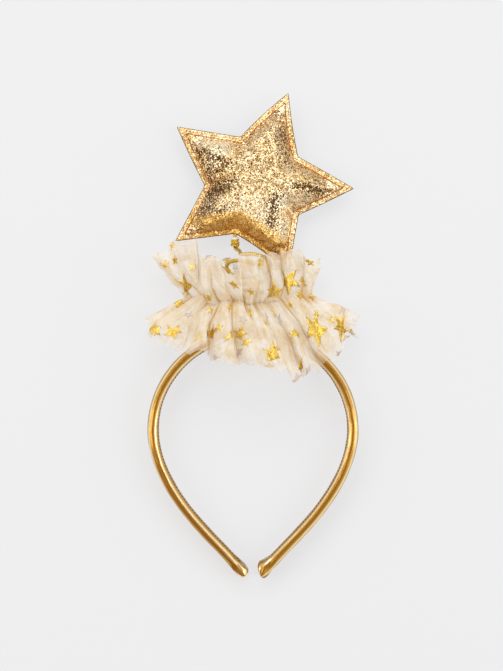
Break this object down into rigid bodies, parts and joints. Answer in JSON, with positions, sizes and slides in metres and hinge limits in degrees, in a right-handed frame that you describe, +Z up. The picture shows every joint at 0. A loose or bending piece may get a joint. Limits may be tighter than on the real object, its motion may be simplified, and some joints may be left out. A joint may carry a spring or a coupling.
{
  "type": "christmas headband",
  "caption": "Gold christmas headband: a stuffed glitter star on a wire spring above a gathered tulle ruffle with foil stars, on a narrow padded band worn over the head.",
  "frame": {"origin": "middle of the headband's box at the surface that it lies on", "axes": "+Z up from the surface, +Y from the hairband's ends to the star's top tip, +X across the hairband"},
  "size_m": [0.1096, 0.247, 0.0408],
  "materials": {
    "lame": "smooth gold lame cloth over padding",
    "wire": "bright yellow-gold wire",
    "glue": "whitish hot-melt glue",
    "glitter": "gold glitter-coated artificial leather",
    "tulle": "sheer cream tulle with gold foil stars"
  },
  "bodies": {
    "root": {"hairband": "lame", "spring_wire": "wire", "stem_collar": "wire", "glue_dab": "glue", "star_pad": "glitter", "tulle_ruffle": "tulle"}
  },
  "joints": []
}
